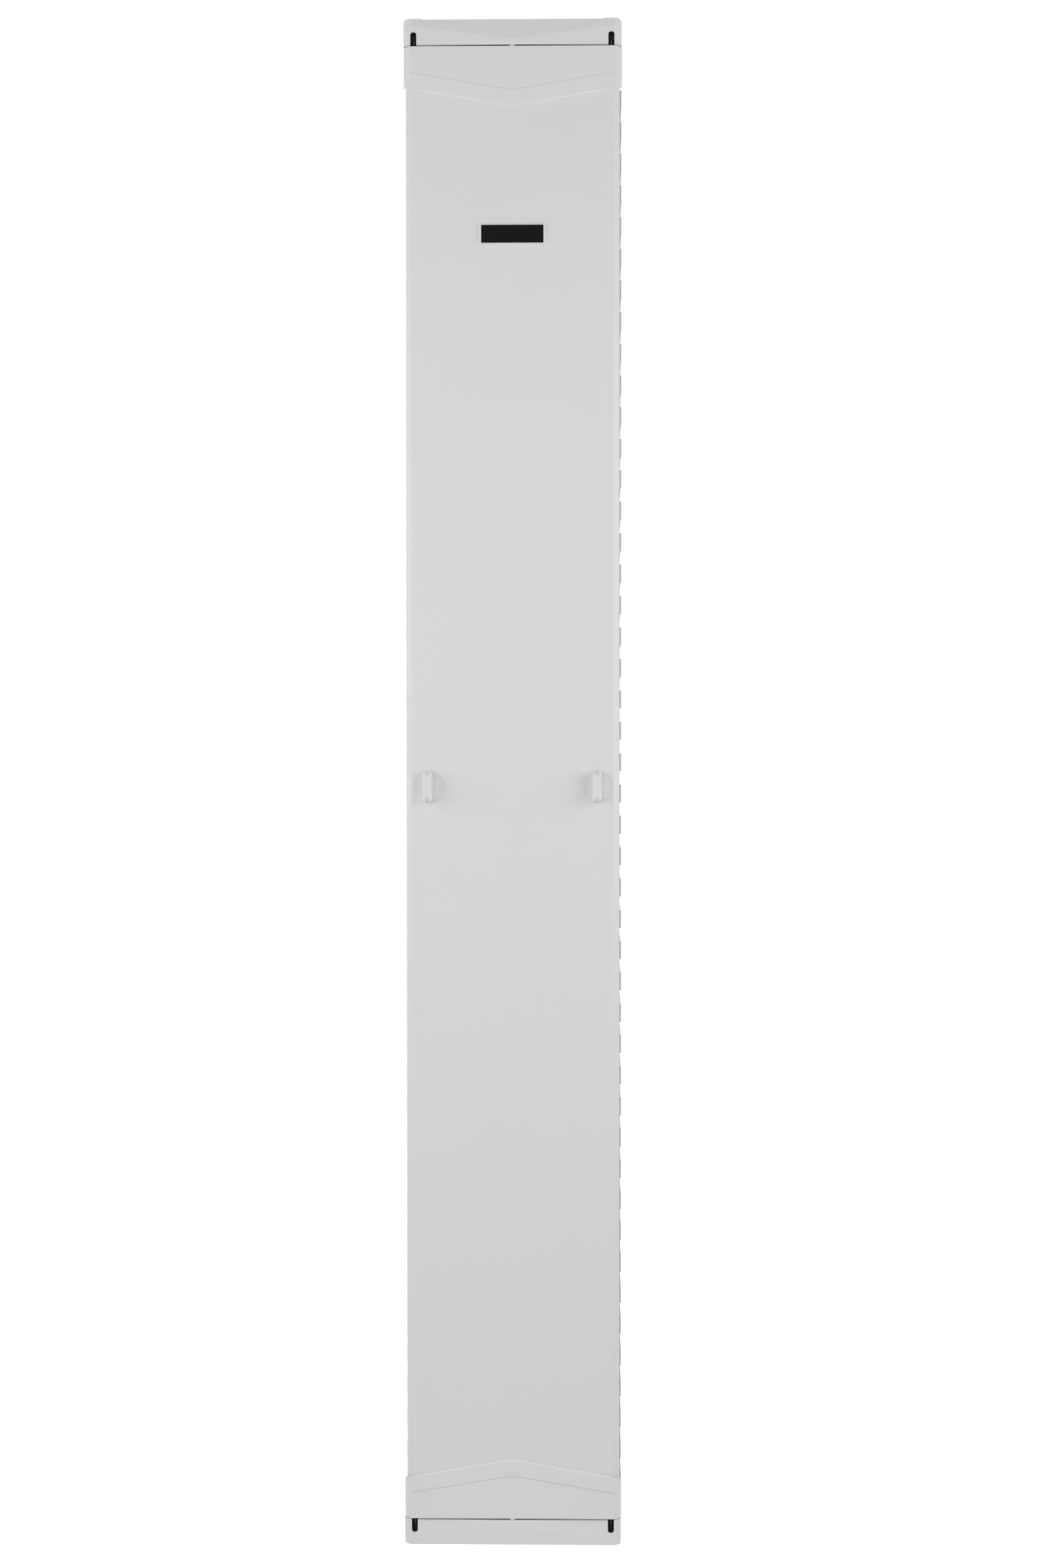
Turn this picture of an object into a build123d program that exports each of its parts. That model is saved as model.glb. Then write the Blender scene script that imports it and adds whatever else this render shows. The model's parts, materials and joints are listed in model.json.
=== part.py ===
from build123d import *
import os
from math import acos, ceil, cos, pi, radians, sin, tan

# A tall floor-standing cable manager: a narrow steel frame with rows of fingers at both sides,
# moulded caps at its ends, and a full-height door that opens from either side.
# Millimetres. +X is to the right, -Y is the front, +Z is up, and z = 0 is the floor.
# A depth is measured backwards from the front of the moulded caps.

# Overall size
HEIGHT = 2131.0
WIDTH = 304.8
BODY_DEPTH = 241.0
KNOB_PROJECTION = 14.0
RACK_UNIT = 44.45
FINGER_SECTIONS = ("lower", "middle", "upper")

# Frame steel
STEEL = 2.0
TRAY_LIP_INSET = 2.0
UPRIGHT_DEPTH = 68.0
UPRIGHT_FLANGE = 28.0
CABLE_OPENING_WIDTH = 190.0
CABLE_OPENING_DEPTH = 110.0
CABLE_OPENING_CORNER = 20.0
ANCHOR_SPACING_X = 216.0
ANCHOR_SPACING_Y = 140.0
ANCHOR_RADIUS = 6.75
TOP_FIXING_RADIUS = 4.5
GANG_SPACING_Y = 32.0
GANG_END_DISTANCE = 120.0
GANG_RADIUS = 5.5

# Cross plates between the uprights, and the slack spools on them
PLATE_COUNT = 6
PLATE_HEIGHT = 130.0
PLATE_LIP = 14.0
PLATE_END_CLEARANCE = 0.2
SPOOL_HUB_RADIUS = 25.0
SPOOL_FLANGE_RADIUS = 37.0
SPOOL_LENGTH = 80.0
SPOOL_WALL = 3.0
SPOOL_BASE_WIDTH = 80.0
SPOOL_BASE_HEIGHT = 56.0
SPOOL_FLANGE_TAPER = 6.0

# Fingers
FINGER_DOOR_CLEARANCE = 9.0
FINGER_WIDTH = 22.0
FINGER_OUTER_INSET = 0.3
FINGER_TIP_HALF = 12.5
FINGER_TIP_THICKNESS = 6.5
FINGER_NECK_HALF = 4.0
FINGER_ROOT_HALF = 5.0
FINGER_FOOT_HALF = 11.0
FINGER_FLARE = 14.0
FINGER_ROW_DROP = 11.0

# Moulded caps at the top and bottom of the frame
CAP_HEIGHT = 36.0
CAP_DEPTH = 44.0
CAP_WALL = 2.5
CAP_SIDE_INSET = 0.7
CREASE_INSET = 8.0
CAP_PROW = 2.8
CAP_ROLL_RADIUS = 2.3
CAP_BEVEL_DEPTH = 6.5
CAP_CORNER_RADIUS = 3.0
FACET_CENTRE_DROP = 28.0
FACET_RISE = 18.9
PAD_HEIGHT = 1.2
PAD_LENGTH = 22.0
SLOT_CLEARANCE = 0.9
SLOT_HEIGHT = 18.5
SLOT_ARCH = 2.4

# Door
DOOR_GAP = 2.0
DOOR_SHEET = 1.5
DOOR_DEPTH = 34.0
DOOR_RETURN = 12.0
PANEL_BEVEL_DEPTH = 4.5
PANEL_SHOULDER = 2.2
PANEL_SHOULDER_DEPTH = 17.0
SLEEVE_WALL = 3.0
SLEEVE_FIT = 0.15
SLEEVE_END_WALL = 4.0
SLEEVE_BACK_HEIGHT = 26.0
SLEEVE_ROLL_RADIUS = 0.8
SLEEVE_SIDE_RISE = 14.0
LIP_SIDE = 59.4
LIP_CENTRE = 84.4
LIP_CHAMFER = 2.2
GROOVE_SIDE = 37.4
GROOVE_CENTRE = 61.4
GROOVE_WIDTH = 1.4
GROOVE_DEPTH = 0.8
TAB_WIDTH = 6.5
TAB_DEPTH = 9.0
STIFFENER_WIDTH = 70.0
STIFFENER_DEPTH = 14.0
STIFFENER_FOOT = 15.0
STIFFENER_END_DISTANCE = 130.0
BADGE_WIDTH = 86.5
BADGE_HEIGHT = 24.8
BADGE_RIM_SIDE = 3.2
BADGE_RIM_TOP = 1.4
BADGE_THICKNESS = 2.4
BADGE_FIT = 0.1
BADGE_BELOW_TOP = 297.5

# Hinge pins and their seats
PIN_SIDE_ROOM = 8.5
PIN_DEPTH = 14.0
PIN_RADIUS = 3.3
PIN_PROJECTION = 13.2
PIN_CHAMFER = 1.8
PIN_CLEARANCE = 0.3
BUSH_WALL = 2.0
BUSH_FLANGE_STEP = 2.2
BUSH_FLANGE = 1.2
BUSH_LENGTH = 9.0
BUSH_FIT = 0.1
SOCKET_WALL = 4.9
SOCKET_HEIGHT = 27.0
SOCKET_CHAMFER = 4.5
SOCKET_FRONT_CLEARANCE = 1.0
SOCKET_SCREW_EDGE = 6.0

# Latch: a knob turns a pinion, which draws an upper and a lower rod in
KNOB_TO_PIN = 19.8
KNOB_RADIUS = 21.5
KNOB_RIM = 1.5
KNOB_RIM_HEIGHT = 3.4
KNOB_DISH = 2.0
KNOB_FLOOR = 1.2
KNOB_GRIP_LENGTH = 42.0
KNOB_GRIP_BOW_LENGTH = 34.0
KNOB_GRIP_SHOULDER = 13.0
KNOB_GRIP_TIP = 9.0
KNOB_GRIP_WAIST = 9.4
KNOB_GRIP_FOOT_WIDTH = 15.0
KNOB_GRIP_CHAMFER = 1.4
KNOB_NOTCH_WIDTH = 5.6
KNOB_NOTCH_LENGTH = 6.5
KNOB_NOTCH_DEPTH = 2.6
KNOB_HUB_RADIUS = 8.0
KNOB_SHAFT_END_CLEARANCE = 1.0
GEAR_MODULE = 1.5
PINION_TEETH = 12
PRESSURE_ANGLE = radians(20.0)
ADDENDUM = 0.7 * GEAR_MODULE
DEDENDUM = 0.95 * GEAR_MODULE
BACKLASH = 0.3
PINION_SHAFT_RADIUS = 5.0
PINION_JOURNAL_RADIUS = 4.0
RACK_RUN_IN = 2
RACK_BACK_WALL = 2.2
RACK_SOCKET_WALL = 0.6
RACK_BAR_WIDTH = 9.0
RACK_ARM = 16.0
RACK_ARM_CLEARANCE = 2.0
ROD_SOCKET = 14.0
ROD_ABOVE_TEETH = 2.0
ROD_FIT = 0.1
GUIDE_OFFSETS = (330.0, 720.0)
GUIDE_SIZE = 12.0
GUIDE_WALL = 2.0
GUIDE_FOOT = 6.0
FOOT_BEND_CLEARANCE = 2.0
COVER_WALL = 2.0
COVER_FOOT = 14.0
COVER_MARGIN = 6.0
COVER_CLEARANCE = 3.0
RUNNING_CLEARANCE = 0.3

# Fasteners
BOLT_HEAD_RADIUS = 7.0
BOLT_HEAD = 4.5
SCREW_HEAD_RADIUS = 4.5
SCREW_HEAD = 2.5

# Worked out from the sizes above
FRONT_Y = -(BODY_DEPTH - KNOB_PROJECTION) / 2
FRAME_TOP = HEIGHT - PAD_HEIGHT
MID_Z = FRAME_TOP / 2
FRAME_HALF = WIDTH / 2 - CAP_SIDE_INSET
TRAY_LENGTH = BODY_DEPTH - CAP_DEPTH
TRAY_MID_DEPTH = CAP_DEPTH + TRAY_LENGTH / 2
TRAY_HEIGHT = CAP_HEIGHT - TRAY_LIP_INSET
UPRIGHT_OUTER = FRAME_HALF - STEEL
UPRIGHT_BACK = BODY_DEPTH - STEEL
UPRIGHT_FRONT = UPRIGHT_BACK - UPRIGHT_DEPTH
UPRIGHT_FLANGE_MID = UPRIGHT_OUTER - UPRIGHT_FLANGE / 2
GANG_MID_DEPTH = UPRIGHT_FRONT + UPRIGHT_DEPTH / 2
PLATE_BACK = UPRIGHT_BACK - STEEL
PLATE_FRONT = PLATE_BACK - STEEL
PLATE_HALF = UPRIGHT_OUTER - STEEL - PLATE_END_CLEARANCE
PLATE_SPACING = (FRAME_TOP - 2 * CAP_HEIGHT - PLATE_HEIGHT) / (PLATE_COUNT - 1)
PLATE_LEVELS = [CAP_HEIGHT + PLATE_HEIGHT / 2 + i * PLATE_SPACING for i in range(PLATE_COUNT)]
PLATE_SCREW_X = UPRIGHT_FLANGE_MID
SPOOL_SCREW_X = (SPOOL_HUB_RADIUS + SPOOL_BASE_WIDTH / 2) / 2
FINGER_FRONT = DOOR_DEPTH + SLEEVE_WALL + FINGER_DOOR_CLEARANCE
FINGER_OUTER = WIDTH / 2 - FINGER_OUTER_INSET
FINGER_ROOM = FRAME_TOP - 2 * CAP_HEIGHT
FINGERS_PER_SECTION = int(FINGER_ROOM / (RACK_UNIT * len(FINGER_SECTIONS)))
FINGER_COUNT = FINGERS_PER_SECTION * len(FINGER_SECTIONS)
FINGER_FIRST = MID_Z - FINGER_ROW_DROP - (FINGER_COUNT - 1) / 2 * RACK_UNIT
FACET_SLOPE = CAP_PROW / FACET_RISE
DOOR_BOTTOM = CAP_HEIGHT + DOOR_GAP
DOOR_TOP = FRAME_TOP - DOOR_BOTTOM
PANEL_HALF = WIDTH / 2 - SLEEVE_WALL
PANEL_FRONT = SLEEVE_WALL
PANEL_INNER = PANEL_FRONT + DOOR_SHEET
CREASE_X = PANEL_HALF - CREASE_INSET
PIN_X = PANEL_HALF - PIN_SIDE_ROOM - PIN_RADIUS
KNOB_X = PIN_X - KNOB_TO_PIN
SLOT_WIDTH = 2 * (PIN_RADIUS + SLOT_CLEARANCE)
BUSH_RADIUS = PIN_RADIUS + BUSH_FIT + BUSH_WALL
BUSH_FLANGE_RADIUS = BUSH_RADIUS + BUSH_FLANGE_STEP
SOCKET_SEAT_RADIUS = PIN_RADIUS + PIN_CLEARANCE
SOCKET_HALF_WIDTH = SOCKET_SEAT_RADIUS + SOCKET_WALL
SOCKET_FRONT = CAP_PROW + CAP_WALL + SOCKET_FRONT_CLEARANCE
PITCH_RADIUS = GEAR_MODULE * PINION_TEETH / 2
RACK_PITCH = pi * GEAR_MODULE
TRAVEL_PITCHES = ceil(PINION_TEETH / 4)
TRAVEL = PITCH_RADIUS * pi / 2
GEAR_FACE = 2 * (PIN_RADIUS + ROD_FIT + RACK_SOCKET_WALL)
GEAR_FRONT = PIN_DEPTH - GEAR_FACE / 2
GEAR_BACK = PIN_DEPTH + GEAR_FACE / 2
RACK_OUTER = PIN_X + PIN_RADIUS + ROD_FIT + RACK_BACK_WALL
RACK_INNER = KNOB_X - PITCH_RADIUS - DEDENDUM - RACK_BAR_WIDTH
RACK_SHORT_END = RACK_RUN_IN * RACK_PITCH
RACK_LONG_END = (TRAVEL_PITCHES + RACK_RUN_IN) * RACK_PITCH
ARM_TOP = RACK_SHORT_END + 2 * TRAVEL + RACK_ARM_CLEARANCE
ARM_BOTTOM = ARM_TOP + RACK_ARM
COVER_HALF = ARM_BOTTOM + COVER_MARGIN
COVER_FRONT = GEAR_BACK + COVER_CLEARANCE
COVER_BACK = COVER_FRONT + COVER_WALL
GUIDE_BACK = PIN_DEPTH + PIN_RADIUS + GUIDE_WALL
GUIDE_INNER = PIN_X - PIN_RADIUS - RUNNING_CLEARANCE - GUIDE_FOOT
FOOT_OUTER = CREASE_X - FOOT_BEND_CLEARANCE
SIDES = (("left", -1), ("right", 1))


def front_plane(depth):
    """Plane facing the front at a depth: x to the right, y up; a negative extrude goes back."""
    return Plane.XZ.offset(-(FRONT_Y + depth))


def side_plane(x):
    """Plane facing right at x: its own x runs back, its own y runs up."""
    return Plane.YZ.offset(x)


def level(z):
    return Plane.XY.offset(z)


def block(x_range, depth_range, z_range, mode=Mode.ADD):
    """Rectangular block between pairs of limits."""
    x_size = abs(x_range[1] - x_range[0])
    with BuildSketch(level(min(z_range))) as profile:
        with Locations((sum(x_range) / 2, FRONT_Y + sum(depth_range) / 2)):
            Rectangle(x_size, abs(depth_range[1] - depth_range[0]))
    extrude(profile.sketch, amount=abs(z_range[1] - z_range[0]), mode=mode)


def round_bar(x, z, radius, depth_range, mode=Mode.ADD):
    """Round bar or hole that runs from front to back."""
    with BuildSketch(front_plane(depth_range[0])) as profile:
        with Locations((x, z)):
            Circle(radius)
    extrude(profile.sketch, amount=-(depth_range[1] - depth_range[0]), mode=mode)


def screw_heads(places, seat_depth, facing):
    """Hex heads on the face at a depth; facing is 1 for heads to the front, -1 to the back."""
    with BuildSketch(front_plane(seat_depth)) as profile:
        with Locations(*places):
            RegularPolygon(SCREW_HEAD_RADIUS, 6)
    extrude(profile.sketch, amount=facing * SCREW_HEAD)


def write(piece, name):
    """Label a finished piece and write it to its own file."""
    piece.label = name
    export_step(piece, f"parts/{name}.step")


os.makedirs("parts", exist_ok=True)

# Where screws and bolts go
SOCKET_SCREW_Z = FRAME_TOP - CAP_HEIGHT + SOCKET_HEIGHT - SOCKET_SCREW_EDGE
SOCKET_SCREW_PLACES = [(sign * PIN_X, z) for _, sign in SIDES
                       for z in (SOCKET_SCREW_Z, FRAME_TOP - SOCKET_SCREW_Z)]
PLATE_SCREW_PLACES = [(sign * PLATE_SCREW_X, z) for _, sign in SIDES for z in PLATE_LEVELS]
SPOOL_LEVELS = PLATE_LEVELS[1:-1]
SPOOL_SCREW_PLACES = [(sign * SPOOL_SCREW_X, z) for _, sign in SIDES for z in SPOOL_LEVELS]
LATCH_SCREW_X = (RACK_INNER + PIN_X) / 2 - GUIDE_FOOT
LATCH_SCREW_Z = COVER_HALF + COVER_WALL + COVER_FOOT / 2
LATCH_SCREW_PLACES = [(sign * LATCH_SCREW_X, MID_Z + up * LATCH_SCREW_Z) for _, sign in SIDES
                      for up in (-1, 1)]
BOLT_LEVELS = (TRAY_HEIGHT / 2, FRAME_TOP - TRAY_HEIGHT / 2)


# Base and top trays
def add_tray():
    """Steel pan on the floor, open upward, with a rounded cable opening in its floor."""
    with BuildSketch(level(0)) as profile:
        with Locations((0, FRONT_Y + TRAY_MID_DEPTH)):
            Rectangle(2 * FRAME_HALF, TRAY_LENGTH)
    pan = extrude(profile.sketch, amount=TRAY_HEIGHT)
    offset(amount=-STEEL, openings=pan.faces().sort_by(Axis.Z)[-1])
    with BuildSketch(level(0)) as profile:
        with Locations((0, FRONT_Y + TRAY_MID_DEPTH)):
            RectangleRounded(CABLE_OPENING_WIDTH, CABLE_OPENING_DEPTH, CABLE_OPENING_CORNER)
    extrude(profile.sketch, amount=STEEL, mode=Mode.SUBTRACT)


def add_plate_holes(radius):
    """Four fixing holes through a tray's floor."""
    with BuildSketch(level(0)) as profile:
        with Locations((0, FRONT_Y + TRAY_MID_DEPTH)):
            with GridLocations(ANCHOR_SPACING_X, ANCHOR_SPACING_Y, 2, 2):
                Circle(radius)
    extrude(profile.sketch, amount=STEEL, mode=Mode.SUBTRACT)


with BuildPart() as base_tray:
    add_tray()
    add_plate_holes(ANCHOR_RADIUS)
write(base_tray.part, "base_tray")

with BuildPart() as top_tray:
    add_tray()
    add_plate_holes(TOP_FIXING_RADIUS)
    mirror(about=level(MID_Z), mode=Mode.REPLACE)
write(top_tray.part, "top_tray")

# Uprights: C-channels with holes in the web for joining two managers
for side, sign in SIDES:
    with BuildPart() as upright:
        with BuildSketch(level(STEEL)):
            with Locations((sign * UPRIGHT_FLANGE_MID, FRONT_Y + GANG_MID_DEPTH)):
                Rectangle(UPRIGHT_FLANGE, UPRIGHT_DEPTH)
            with Locations((sign * (UPRIGHT_FLANGE_MID - STEEL), FRONT_Y + GANG_MID_DEPTH)):
                Rectangle(UPRIGHT_FLANGE, UPRIGHT_DEPTH - 2 * STEEL, mode=Mode.SUBTRACT)
        extrude(amount=FRAME_TOP - 2 * STEEL)
        with BuildSketch(side_plane(sign * UPRIGHT_OUTER)):
            with Locations((FRONT_Y + GANG_MID_DEPTH, MID_Z)):
                with GridLocations(GANG_SPACING_Y, FRAME_TOP - 2 * GANG_END_DISTANCE, 2, 2):
                    Circle(GANG_RADIUS)
        extrude(amount=-sign * STEEL, mode=Mode.SUBTRACT)
    write(upright.part, f"{side}_upright")

with BuildPart() as upright_bolts:
    for side, sign in SIDES:
        with BuildSketch(side_plane(sign * (UPRIGHT_OUTER - STEEL))):
            with Locations(*[(FRONT_Y + GANG_MID_DEPTH, z) for z in BOLT_LEVELS]):
                RegularPolygon(BOLT_HEAD_RADIUS, 6)
        extrude(amount=-sign * BOLT_HEAD)
write(upright_bolts.part, "upright_bolts")

# Cross plates: folded steel between the rear flanges, with open bays between them
for number, plate_level in enumerate(PLATE_LEVELS, start=1):
    with BuildPart() as cross_plate:
        with BuildSketch(side_plane(-PLATE_HALF)):
            with Locations((FRONT_Y + PLATE_BACK - PLATE_LIP / 2, plate_level)):
                Rectangle(PLATE_LIP, PLATE_HEIGHT)
            with Locations((FRONT_Y + PLATE_FRONT - PLATE_LIP / 2, plate_level)):
                Rectangle(PLATE_LIP, PLATE_HEIGHT - 2 * STEEL, mode=Mode.SUBTRACT)
        extrude(amount=2 * PLATE_HALF)
    write(cross_plate.part, f"cross_plate_{number}")

with BuildPart() as plate_screws:
    screw_heads(PLATE_SCREW_PLACES, PLATE_FRONT, 1)
write(plate_screws.part, "plate_screws")

# Slack spools: hubs with a wide front flange on a base plate
SPOOL_FRONT = PLATE_FRONT - SPOOL_LENGTH
for number, spool_level in enumerate(SPOOL_LEVELS, start=1):
    with BuildPart() as spool:
        with BuildSketch(front_plane(PLATE_FRONT)):
            with Locations((0, spool_level)):
                Rectangle(SPOOL_BASE_WIDTH, SPOOL_BASE_HEIGHT)
        extrude(amount=SPOOL_WALL)
        with BuildSketch(side_plane(0)):
            with BuildLine():
                Polyline(
                    (FRONT_Y + SPOOL_FRONT, spool_level),
                    (FRONT_Y + SPOOL_FRONT, spool_level + SPOOL_FLANGE_RADIUS),
                    (FRONT_Y + SPOOL_FRONT + SPOOL_WALL, spool_level + SPOOL_FLANGE_RADIUS),
                    (FRONT_Y + SPOOL_FRONT + SPOOL_WALL + SPOOL_FLANGE_TAPER,
                     spool_level + SPOOL_HUB_RADIUS),
                    (FRONT_Y + PLATE_FRONT, spool_level + SPOOL_HUB_RADIUS),
                    (FRONT_Y + PLATE_FRONT, spool_level),
                    close=True,
                )
            make_face()
        revolve(axis=Axis((0, 0, spool_level), (0, 1, 0)))
    write(spool.part, f"slack_spool_{number}")

with BuildPart() as spool_screws:
    screw_heads(SPOOL_SCREW_PLACES, PLATE_FRONT - SPOOL_WALL, 1)
write(spool_screws.part, "spool_screws")


# Fingers: T-tipped blades with a flared foot on the upright's front flange
FINGER_LEVELS = [FINGER_FIRST + i * RACK_UNIT for i in range(FINGER_COUNT)]


def finger_outline():
    """Side outline of a finger as (y, z), about its own middle."""
    tip_back = FINGER_FRONT + FINGER_TIP_THICKNESS
    upper = [
        (UPRIGHT_FRONT, FINGER_FOOT_HALF),
        (UPRIGHT_FRONT - FINGER_FLARE, FINGER_ROOT_HALF),
        (tip_back + FINGER_TIP_HALF - FINGER_NECK_HALF, FINGER_NECK_HALF),
        (tip_back, FINGER_TIP_HALF),
        (FINGER_FRONT, FINGER_TIP_HALF),
    ]
    lower = [(depth, -height) for depth, height in reversed(upper)]
    return [(FRONT_Y + depth, height) for depth, height in upper + lower]


for side, sign in SIDES:
    for section, name in enumerate(FINGER_SECTIONS):
        first = section * FINGERS_PER_SECTION
        finger_levels = FINGER_LEVELS[first:first + FINGERS_PER_SECTION]
        with BuildPart() as fingers:
            with BuildSketch(side_plane(sign * FINGER_OUTER)):
                with Locations(*[(0, z) for z in finger_levels]):
                    Polygon(*finger_outline())
            extrude(amount=-sign * FINGER_WIDTH)
        write(fingers.part, f"{side}_fingers_{name}")


# Moulded frame caps: a faceted prow with a slot for each hinge pin
def add_cap():
    """Top cap shell, open below and behind."""
    with BuildSketch(level(FRAME_TOP - CAP_HEIGHT)) as profile:
        Polygon(
            (-FRAME_HALF, FRONT_Y + CAP_DEPTH),
            (-FRAME_HALF, FRONT_Y + CAP_PROW + CAP_BEVEL_DEPTH),
            (-CREASE_X, FRONT_Y + CAP_PROW),
            (0, FRONT_Y),
            (CREASE_X, FRONT_Y + CAP_PROW),
            (FRAME_HALF, FRONT_Y + CAP_PROW + CAP_BEVEL_DEPTH),
            (FRAME_HALF, FRONT_Y + CAP_DEPTH),
        )
    shell = extrude(profile.sketch, amount=CAP_HEIGHT)
    fillet(shell.edges().filter_by(Axis.Y).group_by(Axis.Z)[-1], CAP_CORNER_RADIUS)
    facet_bottom = FRAME_TOP - FACET_CENTRE_DROP
    with BuildSketch(side_plane(-FRAME_HALF)) as profile:
        Polygon(
            (FRONT_Y, facet_bottom),
            (FRONT_Y + FACET_SLOPE * FACET_CENTRE_DROP, FRAME_TOP),
            (FRONT_Y, FRAME_TOP),
        )
    extrude(profile.sketch, amount=2 * FRAME_HALF, mode=Mode.SUBTRACT)


def hollow_cap(cap):
    """Hollow the cap, roll its edge along the door and cut the two pin slots."""
    openings = [cap.faces().sort_by(Axis.Z)[0], cap.faces().sort_by(Axis.Y)[-1]]
    offset(amount=-CAP_WALL, openings=openings)
    door_edges = cap.edges().group_by(Axis.Z)[0].sort_by(Axis.Y)
    fillet(door_edges[:2], CAP_ROLL_RADIUS)
    with BuildSketch(front_plane(0)) as profile:
        for _, sign in SIDES:
            with BuildLine():
                left = sign * PIN_X - SLOT_WIDTH / 2
                right = sign * PIN_X + SLOT_WIDTH / 2
                bottom = FRAME_TOP - CAP_HEIGHT
                shoulder = bottom + SLOT_HEIGHT - SLOT_ARCH
                Polyline((left, shoulder), (left, bottom), (right, bottom), (right, shoulder))
                ThreePointArc((right, shoulder), (sign * PIN_X, bottom + SLOT_HEIGHT),
                              (left, shoulder))
            make_face()
    extrude(profile.sketch, amount=-(SOCKET_FRONT + CAP_BEVEL_DEPTH), mode=Mode.SUBTRACT)


with BuildPart() as top_front_cap:
    add_cap()
    hollow_cap(top_front_cap)
    pad_outer = FRAME_HALF - CAP_CORNER_RADIUS
    pad_front = FACET_SLOPE * FACET_CENTRE_DROP
    bevel_slope = CAP_BEVEL_DEPTH / (FRAME_HALF - CREASE_X)
    with BuildSketch(level(FRAME_TOP)):
        Polygon(
            (pad_outer - PAD_LENGTH, FRONT_Y + pad_front),
            (CREASE_X + (pad_front - CAP_PROW) / bevel_slope, FRONT_Y + pad_front),
            (pad_outer, FRONT_Y + CAP_PROW + bevel_slope * (pad_outer - CREASE_X)),
            (pad_outer, FRONT_Y + CAP_DEPTH),
            (pad_outer - PAD_LENGTH, FRONT_Y + CAP_DEPTH),
        )
        mirror(about=Plane.YZ)
    extrude(amount=PAD_HEIGHT)
write(top_front_cap.part, "top_front_cap")

with BuildPart() as bottom_front_cap:
    add_cap()
    hollow_cap(bottom_front_cap)
    mirror(about=level(MID_Z), mode=Mode.REPLACE)
write(bottom_front_cap.part, "bottom_front_cap")

# Hinge sockets: saddles behind the slots, open to the front and to the door
for side, sign in SIDES:
    for end in ("upper", "lower"):
        with BuildPart() as socket:
            with BuildSketch(level(FRAME_TOP - CAP_HEIGHT)):
                with BuildLine():
                    left = sign * PIN_X - SOCKET_SEAT_RADIUS
                    right = sign * PIN_X + SOCKET_SEAT_RADIUS
                    seat_y = FRONT_Y + PIN_DEPTH
                    chamfer_y = FRONT_Y + SOCKET_FRONT + SOCKET_CHAMFER
                    Polyline(
                        (left, seat_y),
                        (left, FRONT_Y + SOCKET_FRONT),
                        (sign * PIN_X - SOCKET_HALF_WIDTH, chamfer_y),
                        (sign * PIN_X - SOCKET_HALF_WIDTH, FRONT_Y + CAP_DEPTH),
                        (sign * PIN_X + SOCKET_HALF_WIDTH, FRONT_Y + CAP_DEPTH),
                        (sign * PIN_X + SOCKET_HALF_WIDTH, chamfer_y),
                        (right, FRONT_Y + SOCKET_FRONT),
                        (right, seat_y),
                    )
                    ThreePointArc((right, seat_y),
                                  (sign * PIN_X, seat_y + SOCKET_SEAT_RADIUS), (left, seat_y))
                make_face()
            extrude(amount=SOCKET_HEIGHT)
            if end == "lower":
                mirror(about=level(MID_Z), mode=Mode.REPLACE)
        write(socket.part, f"{side}_{end}_hinge_socket")

with BuildPart() as socket_screws:
    screw_heads(SOCKET_SCREW_PLACES, CAP_DEPTH + STEEL, -1)
write(socket_screws.part, "socket_screws")


# Door panel: folded sheet with bevelled sides, side walls and return lips
def panel_outline():
    """Plan outline of the door panel as (x, y), closed straight across the back."""
    half = [
        (CREASE_X, PANEL_FRONT),
        (PANEL_HALF - PANEL_SHOULDER, PANEL_FRONT + PANEL_BEVEL_DEPTH),
        (PANEL_HALF, PANEL_FRONT + PANEL_SHOULDER_DEPTH),
        (PANEL_HALF, DOOR_DEPTH),
    ]
    right = [(x, FRONT_Y + depth) for x, depth in half]
    return right + [(-x, y) for x, y in reversed(right)]


with BuildPart() as door_panel:
    with BuildSketch(level(DOOR_BOTTOM + SLEEVE_END_WALL)) as panel_section:
        Polygon(*panel_outline())
        offset(amount=-DOOR_SHEET, kind=Kind.INTERSECTION, mode=Mode.SUBTRACT)
        with Locations((0, FRONT_Y + DOOR_DEPTH)):
            Rectangle(2 * (PANEL_HALF - DOOR_RETURN), 2 * DOOR_SHEET, mode=Mode.SUBTRACT)
    extrude(amount=DOOR_TOP - DOOR_BOTTOM - 2 * SLEEVE_END_WALL)
    for _, sign in SIDES:
        round_bar(sign * KNOB_X, MID_Z, KNOB_HUB_RADIUS + RUNNING_CLEARANCE,
                  (PANEL_FRONT, PANEL_INNER), Mode.SUBTRACT)
write(door_panel.part, "door_panel")

with BuildPart() as door_stiffener:
    with BuildSketch(level(DOOR_BOTTOM + STIFFENER_END_DISTANCE)):
        with Locations((0, FRONT_Y + PANEL_INNER + STIFFENER_DEPTH / 2)):
            Rectangle(STIFFENER_WIDTH, STIFFENER_DEPTH)
        with Locations((0, FRONT_Y + PANEL_INNER + (STIFFENER_DEPTH - DOOR_SHEET) / 2)):
            Rectangle(STIFFENER_WIDTH - 2 * DOOR_SHEET, STIFFENER_DEPTH - DOOR_SHEET,
                      mode=Mode.SUBTRACT)
        for _, sign in SIDES:
            with Locations((sign * (STIFFENER_WIDTH + STIFFENER_FOOT) / 2,
                            FRONT_Y + PANEL_INNER + DOOR_SHEET / 2)):
                Rectangle(STIFFENER_FOOT + 2 * DOOR_SHEET, DOOR_SHEET)
    extrude(amount=DOOR_TOP - DOOR_BOTTOM - 2 * STIFFENER_END_DISTANCE)
write(door_stiffener.part, "door_stiffener")


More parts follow.
